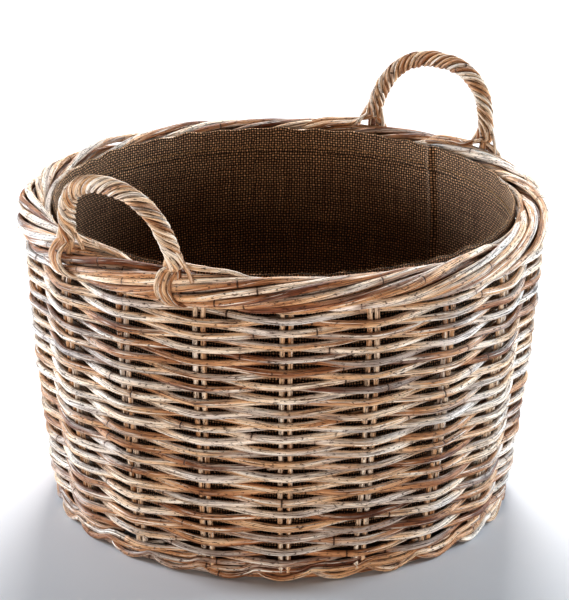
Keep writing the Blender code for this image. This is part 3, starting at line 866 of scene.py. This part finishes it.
class Lining:
    """The jute lining: a hung side with a folded hem and a seam, a base panel, and its threads."""

    def __init__(self):
        self.angle = np.linspace(0, 2 * math.pi, LINING_COLUMNS) + LINING_START
        self.neck = BORDER_RADIUS - BORDER_HALF - LINING_BORDER_GAP
        self.low = LINING_FLOOR + 0.0006
        self.waves = np.random.default_rng(77)

    def section(self):
        """Points of (radius, z) up the wall, over the edge and down the hem. Also how many go up."""
        below = np.linspace(self.low, STAKE_TOP - 0.014, 70)
        z = np.concatenate([below, np.linspace(STAKE_TOP - 0.011, HEM_TOP - 0.002, 16)])
        reach = wall_radius(z) - LINING_WALL_GAP
        reach = np.where(z > STAKE_TOP - 0.014, np.minimum(reach, self.neck), reach)
        turn_in = smoothstep(z, STAKE_TOP - 0.100, STAKE_TOP + 0.006)
        reach = reach * (1 - turn_in) + self.neck * turn_in
        turns = ((0.0006, 0.0007), (0.0014, 0), (0.0022, 0.0008))
        fold = [(self.neck - inside, HEM_TOP - down) for inside, down in turns]
        hem_z = np.linspace(HEM_TOP - 0.003, HEM_TOP - HEM_DEPTH, 14)
        hem = [(self.neck - HEM_LAYER_GAP, each) for each in hem_z]
        return np.array([*zip(reach, z), *fold, *hem]), len(z)

    def dents(self, height):
        """Slanting waves over the cloth, from -1 to 1."""
        total = np.zeros((len(height), LINING_COLUMNS))
        for _ in range(26):
            times = self.waves.integers(3, 34)
            tilt = self.waves.uniform(-60, 60)
            phase = self.waves.uniform(0, 6.28)
            total += np.sin(times * self.angle + tilt * height + phase) / (4 + times * 0.35)
        return total / np.abs(total).max()

    def inward(self, height, is_hem):
        """How far the cloth stands in from its section: wrinkles, the seam and the sewn line."""
        free = smoothstep(height, self.low, self.low + 0.05)
        inward = LINING_WRINKLE * (0.5 + 0.5 * self.dents(height)) * free
        inward = inward * np.where(height > STAKE_TOP, 0.45, 1.0)
        across = (self.angle - SEAM_ANGLE + math.pi) % (2 * math.pi) - math.pi
        across = across * LINING_MEAN_RADIUS
        ridge = np.exp(-((across / SEAM_HALF_WIDTH) ** 2))
        inward = inward + SEAM_HEIGHT * ridge * smoothstep(height, self.low, self.low + 0.03)
        inward = inward - 0.0004 * np.exp(-(((np.abs(across) - 0.009) / 0.004) ** 2))
        off_line = height - (HEM_TOP - HEM_DEPTH + STITCH_HEIGHT)
        return inward - 0.0006 * np.exp(-((off_line / 0.002) ** 2)) * is_hem

    def side(self):
        """The side's piece, its flat size, and how far in it stands along the stitches."""
        section, wall_points = self.section()
        radius, height = section[:, :1], section[:, 1:]
        is_hem = (np.arange(len(section)) >= wall_points)[:, None]
        inward = self.inward(height, is_hem)
        edge_wave = 0.0012 * np.sin(23 * self.angle + 1.3) * np.sin(7 * self.angle)
        edge_wave = edge_wave + 0.0009 * np.sin(41 * self.angle) - 0.0012
        lift = edge_wave * smoothstep(height, HEM_TOP - 0.02, HEM_TOP)
        reach = radius - inward
        grid = [reach * np.cos(self.angle), reach * np.sin(self.angle), height + lift]
        along = self.angle * LINING_MEAN_RADIUS
        up = lengths_along(section)[:, None]
        cloth = np.broadcast_arrays(along, up, np.where(is_hem, HEM_LAYER, 0.0))
        piece = cloth_mesh("lining_side_cloth", grid, cloth, "lining_side")
        round_size = 2 * math.pi * float(radius[:wall_points].max())
        return piece, (round(round_size, 2), round(float(up.max()), 3)), inward[STITCH_ROW]

    def base(self):
        """The base panel's piece and its radius."""
        edge = wall_radius(LINING_FLOOR) - BASE_CLOTH_GAP
        radius = np.linspace(0.0005, edge, BASE_CLOTH_RINGS)[:, None]
        x, y = radius * np.cos(self.angle), radius * np.sin(self.angle)
        waves = np.zeros_like(x)
        for _ in range(14):
            direction, size = self.waves.uniform(0, 6.28), self.waves.uniform(9, 60)
            place = x * math.cos(direction) + y * math.sin(direction)
            waves += np.sin(size * place + self.waves.uniform(0, 6.28))
        waves = 0.0006 * waves / np.abs(waves).max()
        waves = waves * (1 - smoothstep(radius, edge * 0.9, edge))
        grid = [x, y, LINING_FLOOR + 0.0001 + waves]
        cloth = [x, y, np.full_like(x, BASE_LAYER)]
        return cloth_mesh("lining_base_cloth", grid, cloth, "lining_base"), edge

    def stitches(self, inward):
        """Short stitches along the hem, each sunk into the cloth at both ends."""
        thread = Canes()
        around = self.angle % (2 * math.pi)
        order = np.argsort(around)
        hem_radius = self.neck - 0.0040
        height = HEM_TOP - HEM_DEPTH + STITCH_HEIGHT
        count = int(2 * math.pi * hem_radius / STITCH_PITCH)
        t = np.linspace(-1, 1, 9)
        for i in range(count):
            turn = 2 * math.pi * i / count + t * STITCH_LENGTH / 2 / hem_radius
            rise = rng.uniform(-0.0005, 0.0005) * t + rng.uniform(-0.0004, 0.0004)
            sink = 0.0012 * t**4
            local = np.interp(turn % (2 * math.pi), around[order], inward[order])
            path = polar(self.neck - 0.0031 - local + sink, turn, height + rise)
            thread.add(path, STITCH_RADIUS, outward(path), sides=8, spacing=NO_JOINTS)
        return thread.piece("hem_stitches", THREAD_MATERIAL, "jute_thread", "hem_thread")

    def frayed_fibres(self):
        """Loose fibres that stand out along the upper edge."""
        fibres = Canes()
        t = np.linspace(0, 1, 5)
        for _ in range(FRAYED_FIBRES):
            turn = rng.uniform(0, 2 * math.pi)
            start_z = HEM_TOP - 0.0014 + rng.uniform(-0.0015, 0.0010)
            length = rng.uniform(0.002, 0.0055)
            drift_in, drift_along = rng.normal(0, 0.0016, 2)
            start_radius = self.neck - rng.uniform(0.0008, 0.0026)
            bend = rng.uniform(-0.001, 0.001)
            radius = start_radius + drift_in * t + bend * t * t
            height = start_z + length * t * (1 - 0.35 * t)
            path = polar(radius, turn + drift_along / LINING_MEAN_RADIUS * t, height)
            thickness = np.linspace(0.00016, 0.00006, len(t))
            fibres.add(path, thickness, outward(path), sides=4, spacing=NO_JOINTS)
        return fibres.piece("lining_frayed_fibres", THREAD_MATERIAL, "jute_thread")


def make_lining():
    lining = Lining()
    side, flat_side, inward = lining.side()
    base, edge = lining.base()
    thread_piece = lining.stitches(inward)
    fibre_piece = lining.frayed_fibres()


make_stakes()
make_side_weave()
make_foot()
make_border()
Handle("handle_left", -1).make()
Handle("handle_right", 1).make()
make_base_sticks()
make_base_weave()
make_lining()


# ---------------------------------------------------------------- floor, light and camera
def make_floor():
    mesh = bpy.data.meshes.new("floor")
    corners = [(x * FLOOR_HALF, y * FLOOR_HALF, 0) for x, y in ((-1, -1), (1, -1), (1, 1), (-1, 1))]
    mesh.from_pydata(corners, [], [(0, 1, 2, 3)])
    s = Shader("floor_paint")
    s.surface.inputs["Base Color"].default_value = (0.66, 0.65, 0.66, 1)
    s.surface.inputs["Roughness"].default_value = 0.65
    mesh.materials.append(s.material)
    floor = bpy.data.objects.new("floor", mesh)
    bpy.context.scene.collection.objects.link(floor)
    floor.location.z = -FLOOR_DROP


VIEW_RIGHT = Vector((math.cos(CAMERA_AZIMUTH), math.sin(CAMERA_AZIMUTH), 0))
VIEW_NEAR = Vector((math.sin(CAMERA_AZIMUTH), -math.cos(CAMERA_AZIMUTH), 0))


def soft_light(name, place, size, power, color, aim=(0, 0, 0.22)):
    """A rectangular lamp at a place right of, nearer than and above the basket's foot."""
    right, near, height = place
    data = bpy.data.lights.new(name, "AREA")
    data.shape = "RECTANGLE"
    data.size, data.size_y = size
    data.energy = power
    data.color = color
    obj = bpy.data.objects.new(name, data)
    obj.location = VIEW_RIGHT * right + VIEW_NEAR * near + Vector((0, 0, height))
    direction = Vector(aim) - obj.location
    obj.rotation_euler = direction.to_track_quat("-Z", "Y").to_euler()
    bpy.context.scene.collection.objects.link(obj)


def make_light():
    world = bpy.data.worlds.new("studio")
    world.use_nodes = True
    background = world.node_tree.nodes["Background"]
    background.inputs["Color"].default_value = (0.98, 0.99, 1.0, 1)
    background.inputs["Strength"].default_value = 0.05
    bpy.context.scene.world = world
    soft_light("left_softbox", (-2.2, -0.75, 0.8), (1.1, 1.1), 70, (0.80, 0.90, 1.0))
    soft_light("right_softbox", (2.2, -0.7, 0.8), (1.1, 1.1), 65, (0.76, 0.89, 1.0))
    soft_light("back_softbox", (0.1, -2.2, 2.6), (1.3, 0.8), 100, (1.0, 1.0, 1.0), (0, 0, 0.1))
    soft_light("front_fill", (-0.2, 3.0, 0.6), (1.4, 0.9), 41, (1.0, 0.92, 0.84))


def make_camera():
    camera = bpy.data.cameras.new("camera")
    camera.sensor_width = 36
    camera.lens = CAMERA_LENS
    camera.clip_end = 60
    obj = bpy.data.objects.new("camera", camera)
    level = math.cos(CAMERA_ELEVATION)
    back = VIEW_NEAR * level + Vector((0, 0, math.sin(CAMERA_ELEVATION)))
    up = back.cross(VIEW_RIGHT)
    obj.location = CAMERA_TARGET + back * CAMERA_DISTANCE
    aim = CAMERA_TARGET + up * CAMERA_AIM_UP + VIEW_RIGHT * CAMERA_AIM_RIGHT
    look = (aim - obj.location).to_track_quat("-Z", "Y").to_matrix().to_4x4()
    obj.rotation_euler = (look @ Matrix.Rotation(CAMERA_ROLL, 4, "Z")).to_euler()
    bpy.context.scene.collection.objects.link(obj)
    bpy.context.scene.camera = obj


make_floor()
make_light()
make_camera()
bpy.context.scene.view_settings.view_transform = "Standard"
bpy.context.scene.view_settings.look = "High Contrast"
